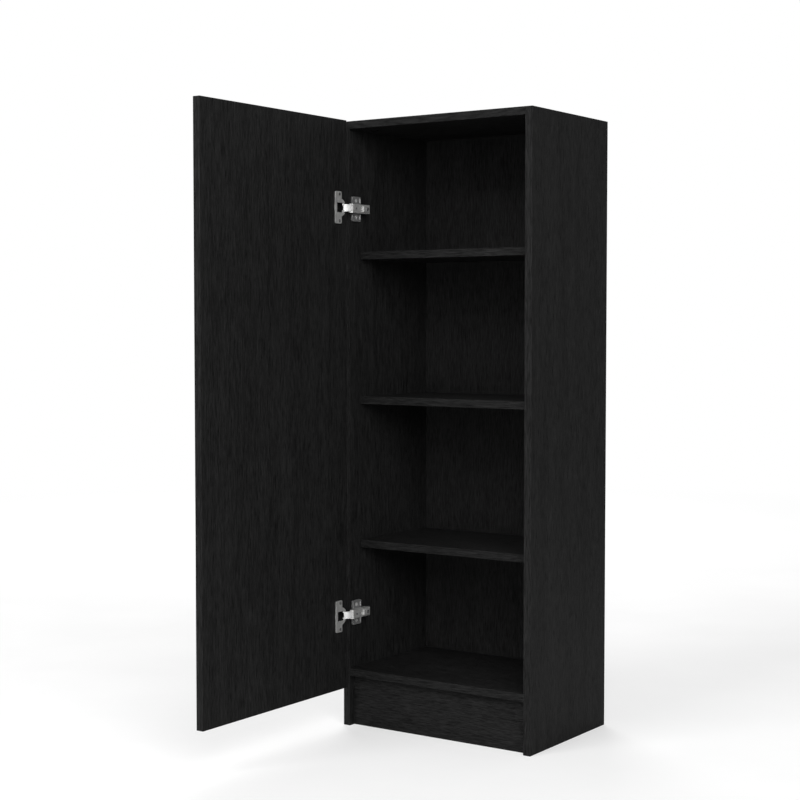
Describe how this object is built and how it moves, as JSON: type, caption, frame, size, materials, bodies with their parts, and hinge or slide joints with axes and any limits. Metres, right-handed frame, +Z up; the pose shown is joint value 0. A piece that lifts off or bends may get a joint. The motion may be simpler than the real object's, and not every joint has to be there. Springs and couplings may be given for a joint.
{
  "type": "pantry cabinet",
  "caption": "Tall narrow pantry cabinet in black wood-grain board: open shelves behind a full-height door on concealed link hinges, over a recessed kick board.",
  "frame": {"origin": "middle of the kick board's bottom face, on the floor, halfway between the two side panels", "axes": "+X runs to the cabinet's right as seen from in front, +Y runs to its back, +Z points up; the front faces -Y"},
  "size_m": [0.43, 0.7395, 1.2],
  "materials": {
    "black_board": "satin black wood-grain foil over chipboard",
    "black_hardboard": "black wood-grain foil over thin hardboard",
    "steel": "nickel-plated pressed steel",
    "zinc": "nickel-plated die-cast zinc, satin",
    "black_plastic": "matt black moulded caps",
    "beech": "plain fluted beech pegs"
  },
  "bodies": {
    "carcass": {"left_side_panel": "black_board", "right_side_panel": "black_board", "top_panel": "black_board", "floor_panel": "black_board", "kick_board": "black_board", "back_panel": "black_hardboard", "upper_shelf": "black_board", "middle_shelf": "black_board", "lower_shelf": "black_board", "upper_shelf_pins": "steel", "middle_shelf_pins": "steel", "lower_shelf_pins": "steel", "cam_locks": "zinc", "cam_bolts": "steel", "cam_covers": "black_plastic", "dowels": "beech", "upper_mounting_plate": "zinc", "upper_plate_screws": "steel", "upper_hinge_arm": "steel", "upper_arm_pins": "steel", "upper_hinge_spring": "steel", "upper_overlay_screw": "steel", "upper_clamp_screw": "steel", "lower_mounting_plate": "zinc", "lower_plate_screws": "steel", "lower_hinge_arm": "steel", "lower_arm_pins": "steel", "lower_hinge_spring": "steel", "lower_overlay_screw": "steel", "lower_clamp_screw": "steel"},
    "outer_links": {"upper_outer_link": "steel", "lower_outer_link": "steel"},
    "inner_links": {"upper_inner_link": "steel", "upper_link_pin": "steel", "lower_inner_link": "steel", "lower_link_pin": "steel"},
    "door": {"door_panel": "black_board", "upper_hinge_cup": "zinc", "upper_cup_screws": "steel", "upper_cup_pins": "steel", "lower_hinge_cup": "zinc", "lower_cup_screws": "steel", "lower_cup_pins": "steel"}
  },
  "joints": [
    {"name": "door_swing", "type": "hinge", "parent": "carcass", "child": "outer_links", "pos_m": [-0.1895, -0.0325, 0.6275], "axis": [0, 0, 1], "range_deg": [-90, 10]},
    {"name": "inner_link_turn", "type": "hinge", "parent": "carcass", "child": "inner_links", "pos_m": [-0.187, -0.0305, 0.6275], "axis": [0, 0, 1], "range_deg": [-86, 10]},
    {"name": "door_on_links", "type": "hinge", "parent": "outer_links", "child": "door", "pos_m": [-0.19675, -0.0475, 0.6275], "axis": [0, 0, 1], "range_deg": [-21, 181]}
  ],
  "couplings": [
    {"joint": "inner_link_turn", "follows": "door_swing", "ratio": 0.953},
    {"joint": "door_on_links", "follows": "door_swing", "ratio": -2}
  ]
}
